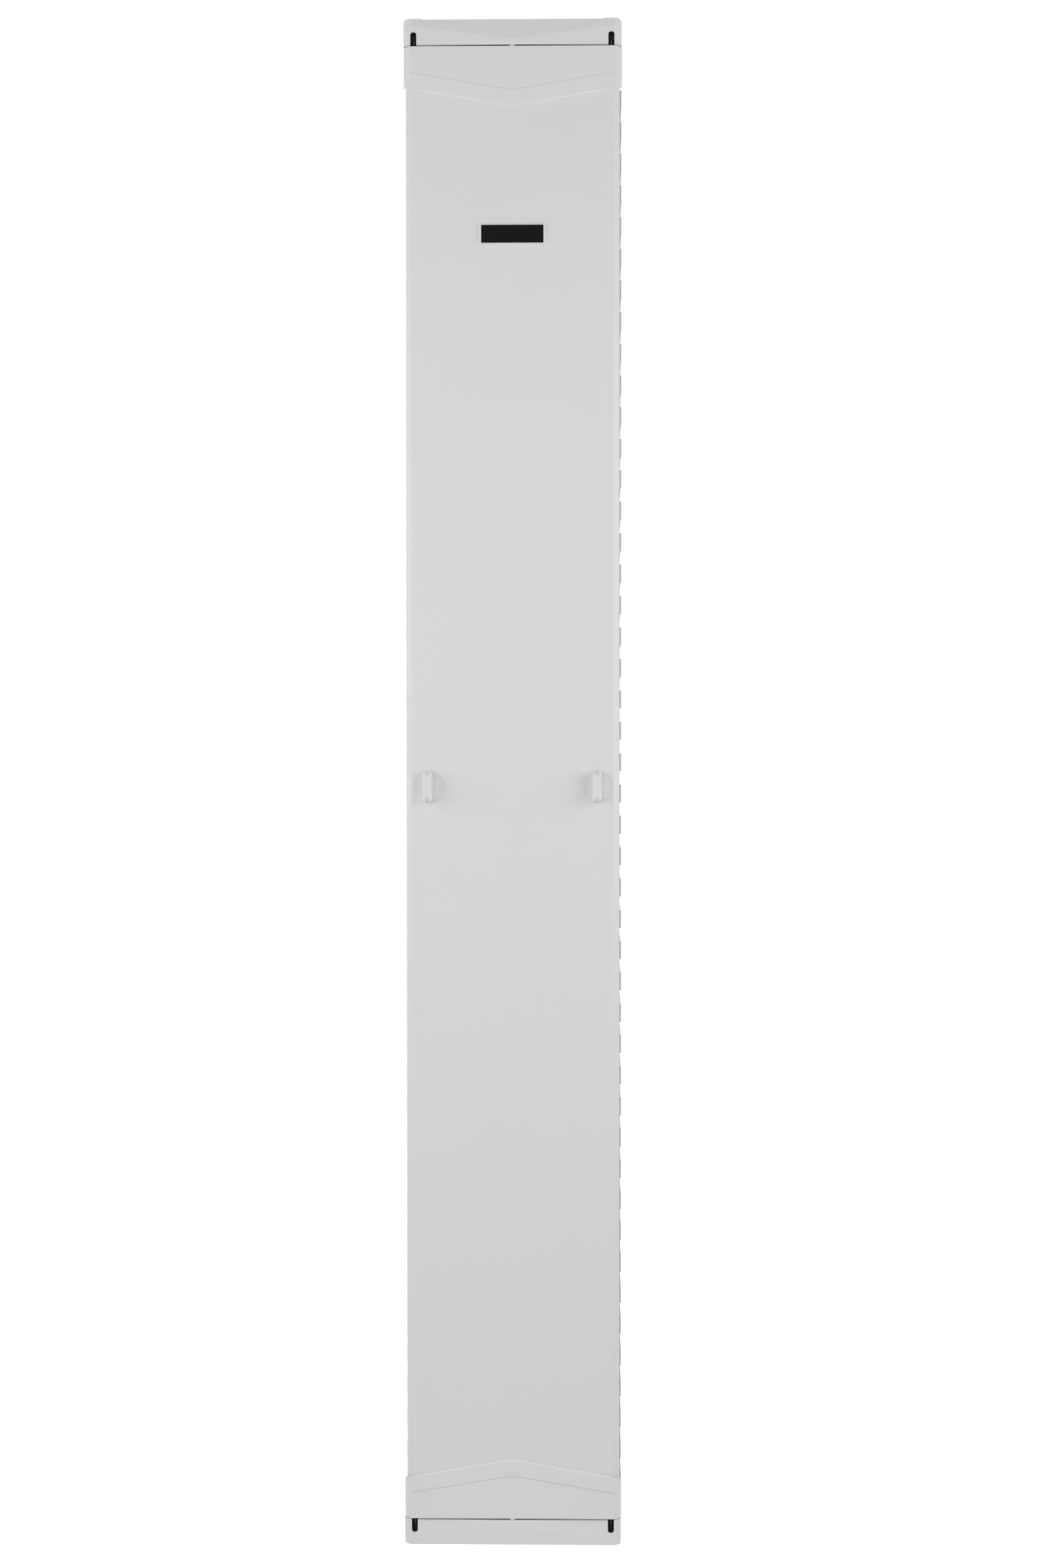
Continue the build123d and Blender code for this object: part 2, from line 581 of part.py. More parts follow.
# Door end caps: sleeves over the panel's ends with a pointed lip and a groove
def add_sleeve(sleeve):
    """Upper end cap, with its chamfered, pointed lip on the front and a bore for each bush."""
    lip_bottom = DOOR_TOP - LIP_CENTRE
    with BuildSketch(level(lip_bottom)) as profile:
        Polygon(*panel_outline())
        offset(amount=SLEEVE_WALL, kind=Kind.INTERSECTION)
    extrude(profile.sketch, amount=LIP_CENTRE)
    with BuildSketch(level(lip_bottom)) as profile:
        Polygon(*panel_outline())
        offset(amount=SLEEVE_FIT, kind=Kind.INTERSECTION)
    extrude(profile.sketch, amount=LIP_CENTRE - SLEEVE_END_WALL, mode=Mode.SUBTRACT)
    with BuildSketch(front_plane(0)) as profile:
        Polygon(
            (-WIDTH / 2, lip_bottom),
            (0, lip_bottom),
            (-CREASE_X, DOOR_TOP - LIP_SIDE),
            (-WIDTH / 2, DOOR_TOP - LIP_SIDE),
        )
        mirror(about=Plane.YZ)
    extrude(profile.sketch, amount=-(DOOR_DEPTH + SLEEVE_WALL), mode=Mode.SUBTRACT)
    front_face = sleeve.faces().sort_by(Axis.Y)[0]
    chamfer(front_face.edges().sort_by(Axis.Z)[:2], LIP_CHAMFER)
    front_face = sleeve.faces().sort_by(Axis.Y)[0]
    fillet(front_face.edges().sort_by(Axis.Z)[-1], SLEEVE_ROLL_RADIUS)
    with BuildSketch(side_plane(-WIDTH / 2)) as profile:
        Polygon(
            (FRONT_Y, DOOR_TOP - LIP_SIDE),
            (FRONT_Y + DOOR_DEPTH + SLEEVE_WALL, DOOR_TOP - LIP_SIDE),
            (FRONT_Y + DOOR_DEPTH + SLEEVE_WALL, DOOR_TOP - LIP_SIDE + SLEEVE_SIDE_RISE),
        )
    slope = extrude(profile.sketch, amount=WIDTH / 2 - CREASE_X, mode=Mode.SUBTRACT)
    mirror(slope, about=Plane.YZ, mode=Mode.SUBTRACT)
    block((-CREASE_X, CREASE_X), (DOOR_DEPTH - SLEEVE_WALL, DOOR_DEPTH + SLEEVE_WALL),
          (lip_bottom, DOOR_TOP - SLEEVE_BACK_HEIGHT), Mode.SUBTRACT)
    with BuildSketch(front_plane(0)) as profile:
        Polygon(
            (-CREASE_X, DOOR_TOP - GROOVE_SIDE),
            (0, DOOR_TOP - GROOVE_CENTRE),
            (CREASE_X, DOOR_TOP - GROOVE_SIDE),
            (CREASE_X, DOOR_TOP - GROOVE_SIDE + GROOVE_WIDTH),
            (0, DOOR_TOP - GROOVE_CENTRE + GROOVE_WIDTH),
            (-CREASE_X, DOOR_TOP - GROOVE_SIDE + GROOVE_WIDTH),
        )
    extrude(profile.sketch, amount=-GROOVE_DEPTH, mode=Mode.SUBTRACT)
    block((-TAB_WIDTH / 2, TAB_WIDTH / 2), (SLEEVE_ROLL_RADIUS, TAB_DEPTH),
          (DOOR_TOP, DOOR_TOP + DOOR_GAP - RUNNING_CLEARANCE))
    with BuildSketch(level(DOOR_TOP - SLEEVE_END_WALL)) as profile:
        with Locations((0, FRONT_Y + PIN_DEPTH)):
            with GridLocations(2 * PIN_X, 0, 2, 1):
                Circle(BUSH_RADIUS + BUSH_FIT)
    extrude(profile.sketch, amount=SLEEVE_END_WALL, mode=Mode.SUBTRACT)


with BuildPart() as door_top_cap:
    add_sleeve(door_top_cap)
write(door_top_cap.part, "door_top_cap")

with BuildPart() as door_bottom_cap:
    add_sleeve(door_bottom_cap)
    mirror(about=level(MID_Z), mode=Mode.REPLACE)
write(door_bottom_cap.part, "door_bottom_cap")

# Bushes that the hinge pins slide and turn in; the lower ones carry the door
for side, sign in SIDES:
    for end, flange in (("upper", BUSH_FLANGE), ("lower", DOOR_GAP - RUNNING_CLEARANCE)):
        with BuildPart() as bush:
            with BuildSketch(level(DOOR_TOP + flange)):
                with Locations((sign * PIN_X, FRONT_Y + PIN_DEPTH)):
                    Circle(BUSH_FLANGE_RADIUS)
            extrude(amount=-flange)
            with BuildSketch(level(DOOR_TOP)):
                with Locations((sign * PIN_X, FRONT_Y + PIN_DEPTH)):
                    Circle(BUSH_RADIUS)
            extrude(amount=-BUSH_LENGTH)
            with BuildSketch(level(DOOR_TOP + flange)):
                with Locations((sign * PIN_X, FRONT_Y + PIN_DEPTH)):
                    Circle(PIN_RADIUS + BUSH_FIT)
            extrude(amount=-(flange + BUSH_LENGTH), mode=Mode.SUBTRACT)
            if end == "lower":
                mirror(about=level(MID_Z), mode=Mode.REPLACE)
        write(bush.part, f"{side}_{end}_bush")

# Blank nameplate in its bevelled rim
BADGE_Z = FRAME_TOP - BADGE_BELOW_TOP
with BuildPart() as badge_rim:
    with BuildSketch(front_plane(PANEL_FRONT)):
        with Locations((0, BADGE_Z)):
            Rectangle(BADGE_WIDTH + 2 * BADGE_RIM_SIDE, BADGE_HEIGHT + 2 * BADGE_RIM_TOP)
    rim = extrude(amount=BADGE_THICKNESS)
    chamfer(rim.faces().sort_by(Axis.Y)[0].edges(), BADGE_RIM_TOP / 2)
    with BuildSketch(front_plane(PANEL_FRONT)):
        with Locations((0, BADGE_Z)):
            Rectangle(BADGE_WIDTH + 2 * BADGE_FIT, BADGE_HEIGHT + 2 * BADGE_FIT)
    extrude(amount=BADGE_THICKNESS, mode=Mode.SUBTRACT)
write(badge_rim.part, "badge_rim")

with BuildPart() as badge_plate:
    with BuildSketch(front_plane(PANEL_FRONT)):
        with Locations((0, BADGE_Z)):
            Rectangle(BADGE_WIDTH, BADGE_HEIGHT)
    extrude(amount=BADGE_THICKNESS - BADGE_RIM_TOP / 2)
write(badge_plate.part, "badge_plate")

# Knobs: a dished disc with a waisted grip bar, on a hub through the panel
KNOB_BACK = PANEL_FRONT - RUNNING_CLEARANCE
KNOB_RIM_FRONT = KNOB_BACK - KNOB_RIM_HEIGHT
KNOB_GRIP_FOOT = KNOB_BACK - KNOB_FLOOR


def grip_section(x, depth, middle_width):
    """Section of the grip bar at a depth: its long sides are arcs between tapered ends."""
    shoulder = KNOB_GRIP_SHOULDER / 2
    with BuildSketch(front_plane(depth)) as section:
        with BuildLine():
            for out in (-1, 1):
                ThreePointArc((x + out * shoulder, MID_Z - KNOB_GRIP_BOW_LENGTH / 2),
                              (x + out * middle_width / 2, MID_Z),
                              (x + out * shoulder, MID_Z + KNOB_GRIP_BOW_LENGTH / 2))
            for up in (-1, 1):
                Polyline(
                    (x - shoulder, MID_Z + up * KNOB_GRIP_BOW_LENGTH / 2),
                    (x - KNOB_GRIP_TIP / 2, MID_Z + up * KNOB_GRIP_LENGTH / 2),
                    (x + KNOB_GRIP_TIP / 2, MID_Z + up * KNOB_GRIP_LENGTH / 2),
                    (x + shoulder, MID_Z + up * KNOB_GRIP_BOW_LENGTH / 2),
                )
        make_face()
    return section.sketch


for side, sign in SIDES:
    dish_radius = KNOB_RADIUS - KNOB_RIM
    dish_sphere = (dish_radius ** 2 + KNOB_DISH ** 2) / (2 * KNOB_DISH)
    with BuildPart() as grip:
        foot = grip_section(sign * KNOB_X, KNOB_GRIP_FOOT, KNOB_GRIP_FOOT_WIDTH)
        crest = grip_section(sign * KNOB_X, -KNOB_PROJECTION, KNOB_GRIP_WAIST)
        loft([foot, crest])
        crest_edges = grip.faces().sort_by(Axis.Y)[0].edges()
        chamfer(crest_edges.sort_by(SortBy.LENGTH)[-2:], KNOB_GRIP_CHAMFER)
        with BuildSketch(side_plane(sign * KNOB_X - KNOB_NOTCH_WIDTH / 2)) as notch:
            for up in (-1, 1):
                end_z = MID_Z + up * KNOB_GRIP_LENGTH / 2
                Polygon(
                    (FRONT_Y - KNOB_PROJECTION, end_z - up * KNOB_NOTCH_LENGTH),
                    (FRONT_Y - KNOB_PROJECTION + KNOB_NOTCH_DEPTH, end_z),
                    (FRONT_Y - KNOB_PROJECTION, end_z),
                )
        extrude(notch.sketch, amount=KNOB_NOTCH_WIDTH, mode=Mode.SUBTRACT)
    with BuildPart() as knob:
        round_bar(sign * KNOB_X, MID_Z, KNOB_RADIUS, (KNOB_RIM_FRONT, KNOB_BACK))
        with Locations((sign * KNOB_X, FRONT_Y + KNOB_RIM_FRONT + KNOB_DISH - dish_sphere, MID_Z)):
            Sphere(dish_sphere, mode=Mode.SUBTRACT)
        add(grip.part)
        round_bar(sign * KNOB_X, MID_Z, KNOB_HUB_RADIUS, (KNOB_BACK, GEAR_FRONT))
        round_bar(sign * KNOB_X, MID_Z, PINION_SHAFT_RADIUS + ROD_FIT,
                  (PANEL_FRONT - KNOB_SHAFT_END_CLEARANCE, GEAR_FRONT), Mode.SUBTRACT)
    write(knob.part, f"{side}_knob")


# Pinions with involute flanks, each on its shaft
def pinion_outline(x):
    """Corner points round the pinion about (x, MID_Z)."""
    base_radius = PITCH_RADIUS * cos(PRESSURE_ANGLE)
    tip_radius = PITCH_RADIUS + ADDENDUM
    root_radius = PITCH_RADIUS - DEDENDUM
    half_pitch_angle = (RACK_PITCH / 2 - BACKLASH) / 2 / PITCH_RADIUS
    pitch_involute = tan(PRESSURE_ANGLE) - PRESSURE_ANGLE

    def half_angle(radius):
        roll = acos(min(1.0, base_radius / radius))
        return half_pitch_angle + pitch_involute - (tan(roll) - roll)

    flank = [(root_radius, half_angle(base_radius))]
    flank += [(radius, half_angle(radius)) for radius in (base_radius, PITCH_RADIUS, tip_radius)]
    points = []
    for tooth in range(PINION_TEETH):
        middle = 2 * pi * tooth / PINION_TEETH
        rising = [(radius, middle - angle) for radius, angle in flank]
        falling = [(radius, middle + angle) for radius, angle in reversed(flank)]
        for radius, angle in rising + falling:
            points.append((x + radius * cos(angle), MID_Z + radius * sin(angle)))
    return points


for side, sign in SIDES:
    with BuildPart() as pinion:
        with BuildSketch(front_plane(GEAR_FRONT)):
            Polygon(*pinion_outline(sign * KNOB_X))
        extrude(amount=-GEAR_FACE)
        round_bar(sign * KNOB_X, MID_Z, PINION_SHAFT_RADIUS, (PANEL_FRONT, GEAR_FRONT))
        round_bar(sign * KNOB_X, MID_Z, PINION_JOURNAL_RADIUS, (GEAR_BACK, COVER_BACK))
    write(pinion.part, f"{side}_latch_pinion")


# Racks: one at each side of the pinion, so that one turn draws both rods in
def tooth_row(pitch_x, toward, upward):
    """Points along a row of rack teeth from its short end; tips point along toward."""
    tip_half = RACK_PITCH / 4 - ADDENDUM * tan(PRESSURE_ANGLE)
    root_half = RACK_PITCH / 4 + DEDENDUM * tan(PRESSURE_ANGLE)
    tip_x = pitch_x + toward * ADDENDUM
    root_x = pitch_x - toward * DEDENDUM
    points = []
    for tooth in range(-RACK_RUN_IN, TRAVEL_PITCHES + RACK_RUN_IN):
        middle = (tooth + 0.5) * RACK_PITCH
        corners = [(root_x, middle - root_half), (tip_x, middle - tip_half),
                   (tip_x, middle + tip_half), (root_x, middle + root_half)]
        points += [(x, MID_Z + upward * along) for x, along in corners]
    return points


ROD_FOOT = RACK_LONG_END + ROD_ABOVE_TEETH
for side, sign in SIDES:
    with BuildPart() as upper_rack:
        upper_root = sign * (KNOB_X + PITCH_RADIUS + DEDENDUM)
        with BuildSketch(front_plane(GEAR_FRONT)):
            Polygon(
                (upper_root, MID_Z - RACK_SHORT_END),
                *tooth_row(sign * (KNOB_X + PITCH_RADIUS), -sign, 1),
                (upper_root, MID_Z + ROD_FOOT + ROD_SOCKET),
                (sign * RACK_OUTER, MID_Z + ROD_FOOT + ROD_SOCKET),
                (sign * RACK_OUTER, MID_Z - RACK_SHORT_END),
            )
        extrude(amount=-GEAR_FACE)
        with BuildSketch(level(MID_Z + ROD_FOOT)):
            with Locations((sign * PIN_X, FRONT_Y + PIN_DEPTH)):
                Circle(PIN_RADIUS + ROD_FIT)
        extrude(amount=ROD_SOCKET, mode=Mode.SUBTRACT)
    write(upper_rack.part, f"{side}_upper_rack")

    with BuildPart() as lower_rack:
        lower_root = sign * (KNOB_X - PITCH_RADIUS - DEDENDUM)
        with BuildSketch(front_plane(GEAR_FRONT)):
            Polygon(
                (lower_root, MID_Z + RACK_SHORT_END),
                *tooth_row(sign * (KNOB_X - PITCH_RADIUS), sign, -1),
                (lower_root, MID_Z - ARM_TOP),
                (sign * RACK_OUTER, MID_Z - ARM_TOP),
                (sign * RACK_OUTER, MID_Z - ARM_BOTTOM),
                (sign * RACK_INNER, MID_Z - ARM_BOTTOM),
                (sign * RACK_INNER, MID_Z + RACK_SHORT_END),
            )
        extrude(amount=-GEAR_FACE)
        with BuildSketch(level(MID_Z - ARM_BOTTOM)):
            with Locations((sign * PIN_X, FRONT_Y + PIN_DEPTH)):
                Circle(PIN_RADIUS + ROD_FIT)
        extrude(amount=ROD_SOCKET, mode=Mode.SUBTRACT)
    write(lower_rack.part, f"{side}_lower_rack")

# Rods: their chamfered ends are the hinge pins
for side, sign in SIDES:
    for end, foot, up in (("upper", MID_Z + ROD_FOOT, 1),
                          ("lower", MID_Z - ARM_BOTTOM + ROD_SOCKET, -1)):
        pin_end = DOOR_TOP + PIN_PROJECTION if up > 0 else DOOR_BOTTOM - PIN_PROJECTION
        with BuildPart() as rod:
            with BuildSketch(level(foot)):
                with Locations((sign * PIN_X, FRONT_Y + PIN_DEPTH)):
                    Circle(PIN_RADIUS)
            bar = extrude(amount=pin_end - foot)
            tip_edge = bar.edges().filter_by(GeomType.CIRCLE).sort_by(Axis.Z)[-1 if up > 0 else 0]
            chamfer(tip_edge, PIN_CHAMFER)
        write(rod.part, f"{side}_{end}_rod")

# Rod guides on the inside of the panel
for side, sign in SIDES:
    with BuildPart() as guides:
        guide_levels = [MID_Z + up * away for away in GUIDE_OFFSETS for up in (-1, 1)]
        with BuildSketch(*[level(z - GUIDE_SIZE / 2) for z in guide_levels]):
            Polygon(
                (sign * GUIDE_INNER, FRONT_Y + PANEL_INNER),
                (sign * FOOT_OUTER, FRONT_Y + PANEL_INNER),
                (sign * RACK_OUTER, FRONT_Y + GEAR_FRONT),
                (sign * RACK_OUTER, FRONT_Y + GUIDE_BACK),
                (sign * GUIDE_INNER, FRONT_Y + GUIDE_BACK),
            )
            with Locations((sign * PIN_X, FRONT_Y + PIN_DEPTH)):
                Circle(PIN_RADIUS + RUNNING_CLEARANCE, mode=Mode.SUBTRACT)
        extrude(amount=GUIDE_SIZE)
    write(guides.part, f"{side}_rod_guides")

# Latch covers: bridges behind the racks that carry the pinion and keep the racks in mesh
for side, sign in SIDES:
    cover_near = RACK_INNER - RUNNING_CLEARANCE - COVER_WALL
    cover_far = RACK_OUTER + RUNNING_CLEARANCE + COVER_WALL
    with BuildPart() as cover:
        with BuildSketch(side_plane(sign * cover_near)):
            with Locations((FRONT_Y + (PANEL_INNER + COVER_BACK) / 2, MID_Z)):
                Rectangle(COVER_BACK - PANEL_INNER, 2 * (COVER_HALF + COVER_WALL))
            with Locations((FRONT_Y + (PANEL_INNER + COVER_FRONT) / 2, MID_Z)):
                Rectangle(COVER_FRONT - PANEL_INNER, 2 * COVER_HALF, mode=Mode.SUBTRACT)
            for up in (-1, 1):
                with Locations((FRONT_Y + PANEL_INNER + COVER_WALL / 2,
                                MID_Z + up * (COVER_HALF + (COVER_WALL + COVER_FOOT) / 2))):
                    Rectangle(COVER_WALL, COVER_WALL + COVER_FOOT)
        extrude(amount=sign * (FOOT_OUTER - cover_near))
        with BuildSketch(level(MID_Z - COVER_HALF)):
            Polygon(
                (sign * cover_near, FRONT_Y + GEAR_FRONT),
                (sign * (cover_near + COVER_WALL), FRONT_Y + GEAR_FRONT),
                (sign * (cover_near + COVER_WALL), FRONT_Y + COVER_FRONT),
                (sign * (cover_far - COVER_WALL), FRONT_Y + COVER_FRONT),
                (sign * (cover_far - COVER_WALL), FRONT_Y + GEAR_FRONT),
                (sign * cover_far, FRONT_Y + GEAR_FRONT),
                (sign * cover_far, FRONT_Y + COVER_BACK),
                (sign * cover_near, FRONT_Y + COVER_BACK),
            )
        extrude(amount=2 * COVER_HALF)
        with BuildSketch(level(MID_Z - COVER_HALF - COVER_WALL)):
            with Locations((sign * PIN_X, FRONT_Y + PIN_DEPTH)):
                Circle(PIN_RADIUS + RUNNING_CLEARANCE)
        extrude(amount=2 * (COVER_HALF + COVER_WALL), mode=Mode.SUBTRACT)
        round_bar(sign * KNOB_X, MID_Z, PINION_JOURNAL_RADIUS + ROD_FIT,
                  (COVER_FRONT, COVER_BACK), Mode.SUBTRACT)
    write(cover.part, f"{side}_latch_cover")

with BuildPart() as latch_screws:
    screw_heads(LATCH_SCREW_PLACES, PANEL_INNER + COVER_WALL, -1)
write(latch_screws.part, "latch_screws")
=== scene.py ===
import json
from math import radians
import bpy
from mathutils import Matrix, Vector

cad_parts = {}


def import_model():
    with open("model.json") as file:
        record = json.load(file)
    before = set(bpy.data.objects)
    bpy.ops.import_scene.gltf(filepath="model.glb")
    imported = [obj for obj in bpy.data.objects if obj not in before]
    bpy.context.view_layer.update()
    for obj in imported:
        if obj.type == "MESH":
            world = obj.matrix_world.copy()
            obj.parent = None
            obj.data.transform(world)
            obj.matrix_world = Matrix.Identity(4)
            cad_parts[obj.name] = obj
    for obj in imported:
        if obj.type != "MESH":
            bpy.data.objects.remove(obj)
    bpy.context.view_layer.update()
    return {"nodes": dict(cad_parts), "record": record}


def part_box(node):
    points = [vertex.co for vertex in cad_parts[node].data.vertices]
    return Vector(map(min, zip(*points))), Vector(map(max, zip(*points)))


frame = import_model()

# A tall light grey cable manager on a white studio floor, seen from the front.
# Metres, in the part's own frame: +X right, -Y front, +Z up.

# Camera, as in the photograph: its distance is from the front of the frame caps,
# and the lens shifts are shares of the picture's height
CAMERA_DISTANCE = 2.8
CAMERA_SIDE = 0.112
CAMERA_HEIGHT = 1.1074
CAMERA_CLIP_END = 200.0
AIM_SIDE = 0.0678
AIM_HEIGHT = 1.0653
LENS_MM = 46.15
LENS_SHIFT_SIDE = -0.0246
LENS_SHIFT_UP = 0.0013
SENSOR_MM = 36.0

# Studio: light powers are in watts
WORLD_FILL = 0.56
OVERHEAD_SHARE = 0.34
FLOOR_HALF = 30.0
FLOOR_GREY = 0.86
FLOOR_ROUGHNESS = 0.9
FLOOR_SPECULAR = 0.1
FLOOR_LIFT = 0.74
LIGHT_AIM = (0.0, 0.0, 1.1)
KEY_PLACE = (-0.6, -3.2, 1.5)
KEY_SIZE = (2.2, 2.4)
KEY_POWER = 26.0
LEFT_LIGHT_PLACE = (-1.7, -0.75, 1.5)
LEFT_LIGHT_POWER = 13.7
RIGHT_LIGHT_PLACE = (1.7, -0.75, 1.5)
RIGHT_LIGHT_POWER = 16.3
SIDE_LIGHT_SIZE = (1.3, 1.3)
WHITE = (1.0, 1.0, 1.0, 1.0)
SEEN_RAYS = ("Is Camera Ray", "Is Glossy Ray", "Is Transmission Ray")

# Finishes: greys are linear, noise is in cycles per metre, bump depths are in metres
COAT_SPECULAR = 0.4
FINE_BUMP_DEPTH = 0.0001
PAINT_GREY = 0.70
PAINT_GREY_SPREAD = 0.006
PAINT_CLOUDING = 9.0
PAINT_ROUGHNESS = (0.42, 0.54)
PAINT_SHEEN_NOISE = 260.0
PAINT_PEEL = 900.0
PAINT_PEEL_DEPTH = 0.0002
MOULDING_GREY = 0.71
MOULDING_ROUGHNESS = 0.46
MOULDING_GRAIN = 1500.0
MOULDING_GRAIN_DEPTH = 0.00015
MOULDING_GREY_SPREAD = 0.004
MOULDING_CLOUDING = 14.0
MOULDING_ROUGHNESS_SPREAD = 0.05
MOULDING_SHEEN_NOISE = 400.0
KNOB_GREY = 0.70
KNOB_ROUGHNESS = 0.40
KNOB_GRAIN = 2200.0
DARK_MOULDING_GREY = 0.05
DARK_MOULDING_ROUGHNESS = 0.5
ROD_GREY = 0.016
ROD_GREY_SPREAD = 0.004
ROD_ROUGHNESS = (0.34, 0.5)
ROD_MARKS = 700.0
ROD_MARK_STRETCH = (1.0, 1.0, 0.02)
ZINC_BLUISH = (0.42, 0.44, 0.46)
ZINC_YELLOWISH = (0.54, 0.53, 0.50)
ZINC_ROUGHNESS = (0.38, 0.52)
ZINC_SPANGLE = 140.0
ZINC_GRAIN = 1200.0
BADGE_GREY = 0.004
BADGE_GREY_SPREAD = 0.001
BADGE_ROUGHNESS = (0.36, 0.48)
BADGE_HAIRLINES = 1500.0
BADGE_HAIRLINE_STRETCH = (0.03, 1.0, 1.0)
BADGE_SPECULAR = 0.06

# Softened edges: the width of the round for each material slot that has one
EDGE_WIDTHS = {
    "grey_paint": 0.0004,
    "grey_moulding": 0.0005,
    "knob_moulding": 0.0006,
    "black_moulding": 0.0004,
    "badge_black": 0.0002,
}
EDGE_ANGLE = radians(28.0)
EDGE_SEGMENTS = 2
WELD_DISTANCE = 1e-5

front_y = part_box("top_front_cap")[0].y
scene = bpy.context.scene
nodes = frame["nodes"]


# Node helpers
def new_material(name):
    material = bpy.data.materials.new(name)
    material.use_nodes = True
    tree = material.node_tree
    return material, tree, tree.nodes["Principled BSDF"]


def object_noise(tree, scale, detail=2.0, stretch=(1.0, 1.0, 1.0)):
    """Noise in the part's own frame; scale is in cycles per metre."""
    place = tree.nodes.new("ShaderNodeTexCoord")
    mapping = tree.nodes.new("ShaderNodeMapping")
    mapping.inputs["Scale"].default_value = stretch
    noise = tree.nodes.new("ShaderNodeTexNoise")
    noise.inputs["Scale"].default_value = scale
    noise.inputs["Detail"].default_value = detail
    tree.links.new(place.outputs["Object"], mapping.inputs["Vector"])
    tree.links.new(mapping.outputs["Vector"], noise.inputs["Vector"])
    return noise.outputs["Fac"]


def vary_number(tree, source, low, high, socket):
    spread = tree.nodes.new("ShaderNodeMapRange")
    spread.inputs["To Min"].default_value = low
    spread.inputs["To Max"].default_value = high
    tree.links.new(source, spread.inputs["Value"])
    tree.links.new(spread.outputs["Result"], socket)


def vary_colour(tree, source, dark, light, socket):
    mix = tree.nodes.new("ShaderNodeMix")
    mix.data_type = "RGBA"
    mix.inputs["A"].default_value = (*dark, 1.0)
    mix.inputs["B"].default_value = (*light, 1.0)
    tree.links.new(source, mix.inputs["Factor"])
    tree.links.new(mix.outputs["Result"], socket)


def add_bump(tree, shader, source, strength, depth):
    bump = tree.nodes.new("ShaderNodeBump")
    bump.inputs["Strength"].default_value = strength
    bump.inputs["Distance"].default_value = depth
    tree.links.new(source, bump.inputs["Height"])
    tree.links.new(bump.outputs["Normal"], shader.inputs["Normal"])


def greys(value, spread):
    """Two neutral greys, a little apart."""
    return (value - spread,) * 3, (value + spread,) * 3


# Materials
def powder_coat(name):
    """Sprayed and baked coat on steel: fine orange peel and a faint unevenness."""
    material, tree, shader = new_material(name)
    clouding = object_noise(tree, PAINT_CLOUDING, detail=3.0)
    sheen = object_noise(tree, PAINT_SHEEN_NOISE)
    peel = object_noise(tree, PAINT_PEEL, detail=3.0)
    vary_colour(tree, clouding, *greys(PAINT_GREY, PAINT_GREY_SPREAD), shader.inputs["Base Color"])
    vary_number(tree, sheen, *PAINT_ROUGHNESS, shader.inputs["Roughness"])
    add_bump(tree, shader, peel, strength=0.10, depth=PAINT_PEEL_DEPTH)
    shader.inputs["Specular IOR Level"].default_value = COAT_SPECULAR
    return material


def moulding(name, value, roughness, grain_scale):
    """Moulded plastic with the fine grain of its tool."""
    material, tree, shader = new_material(name)
    clouding = object_noise(tree, MOULDING_CLOUDING, detail=3.0)
    sheen = object_noise(tree, MOULDING_SHEEN_NOISE)
    grain = object_noise(tree, grain_scale)
    vary_colour(tree, clouding, *greys(value, MOULDING_GREY_SPREAD), shader.inputs["Base Color"])
    smoothest = roughness - MOULDING_ROUGHNESS_SPREAD
    roughest = roughness + MOULDING_ROUGHNESS_SPREAD
    vary_number(tree, sheen, smoothest, roughest, shader.inputs["Roughness"])
    add_bump(tree, shader, grain, strength=0.08, depth=MOULDING_GRAIN_DEPTH)
    shader.inputs["Specular IOR Level"].default_value = COAT_SPECULAR
    return material


def black_coat(name):
    """Blackened steel rod with faint lengthwise draw marks."""
    material, tree, shader = new_material(name)
    marks = object_noise(tree, ROD_MARKS, detail=3.0, stretch=ROD_MARK_STRETCH)
    vary_colour(tree, marks, *greys(ROD_GREY, ROD_GREY_SPREAD), shader.inputs["Base Color"])
    vary_number(tree, marks, *ROD_ROUGHNESS, shader.inputs["Roughness"])
    add_bump(tree, shader, marks, strength=0.06, depth=FINE_BUMP_DEPTH)
    return material


def zinc_plate(name):
    """Zinc plating: spangled, with a trace of blue and yellow."""
    material, tree, shader = new_material(name)
    spangle = object_noise(tree, ZINC_SPANGLE, detail=4.0)
    grain = object_noise(tree, ZINC_GRAIN)
    vary_colour(tree, spangle, ZINC_BLUISH, ZINC_YELLOWISH, shader.inputs["Base Color"])
    vary_number(tree, spangle, *ZINC_ROUGHNESS, shader.inputs["Roughness"])
    add_bump(tree, shader, grain, strength=0.05, depth=FINE_BUMP_DEPTH)
    shader.inputs["Metallic"].default_value = 1.0
    return material


def badge_face(name):
    """Black nameplate face with fine level hairlines."""
    material, tree, shader = new_material(name)
    hairlines = object_noise(tree, BADGE_HAIRLINES, stretch=BADGE_HAIRLINE_STRETCH)
    vary_colour(tree, hairlines, *greys(BADGE_GREY, BADGE_GREY_SPREAD), shader.inputs["Base Color"])
    vary_number(tree, hairlines, *BADGE_ROUGHNESS, shader.inputs["Roughness"])
    add_bump(tree, shader, hairlines, strength=0.05, depth=FINE_BUMP_DEPTH)
    shader.inputs["Specular IOR Level"].default_value = BADGE_SPECULAR
    return material


def soften(piece, width):
    """Round the sharp edges of a piece by a small real width."""
    weld = piece.modifiers.new("weld", "WELD")
    weld.merge_threshold = WELD_DISTANCE
    bevel = piece.modifiers.new("bevel", "BEVEL")
    bevel.width = width
    bevel.segments = EDGE_SEGMENTS
    bevel.limit_method = "ANGLE"
    bevel.angle_limit = EDGE_ANGLE
    normals = piece.modifiers.new("normals", "WEIGHTED_NORMAL")
    normals.keep_sharp = True


